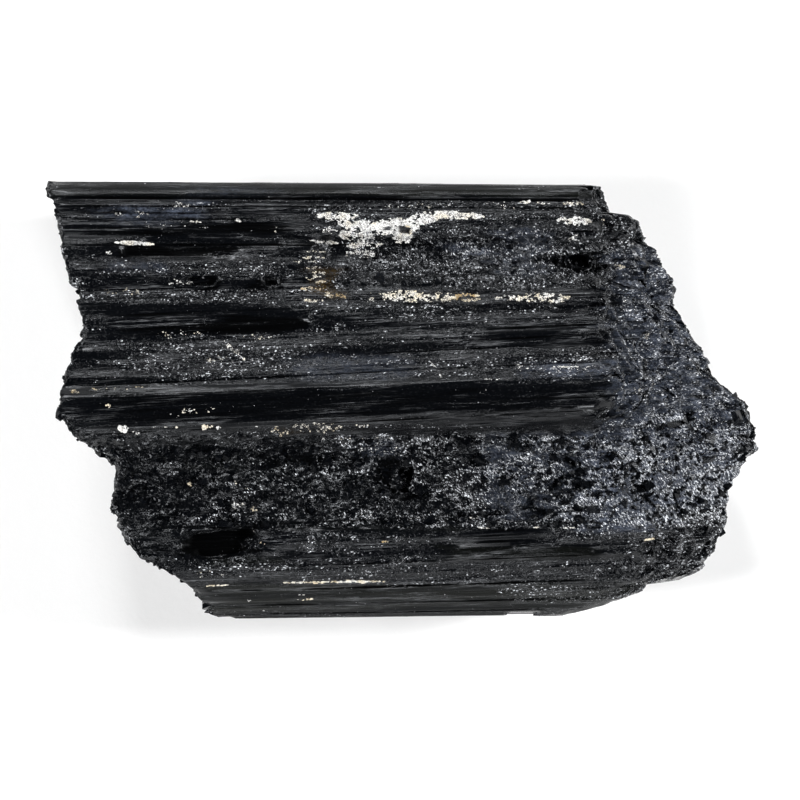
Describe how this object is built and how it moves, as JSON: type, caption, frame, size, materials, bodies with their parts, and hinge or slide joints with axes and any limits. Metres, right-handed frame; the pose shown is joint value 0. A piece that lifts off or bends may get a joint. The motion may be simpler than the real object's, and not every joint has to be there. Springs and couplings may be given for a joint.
{
  "type": "black tourmaline crystal",
  "caption": "Raw black tourmaline crystal: parallel striated columns in one chunk, with broken stepped ends and a rough granular flank.",
  "frame": {"origin": "middle of the crystal's bounding box, on the plane of the back face that it rests on", "axes": "+X along the columns towards the end with the broken slope, +Y towards the straight smooth upper edge, +Z out of the broad face away from the resting face"},
  "size_m": [0.12, 0.0736, 0.047],
  "materials": {
    "black_tourmaline": "glassy black on fresh faces, satin along the striations"
  },
  "bodies": {
    "root": {"tourmaline_crystal": "black_tourmaline"}
  },
  "joints": []
}
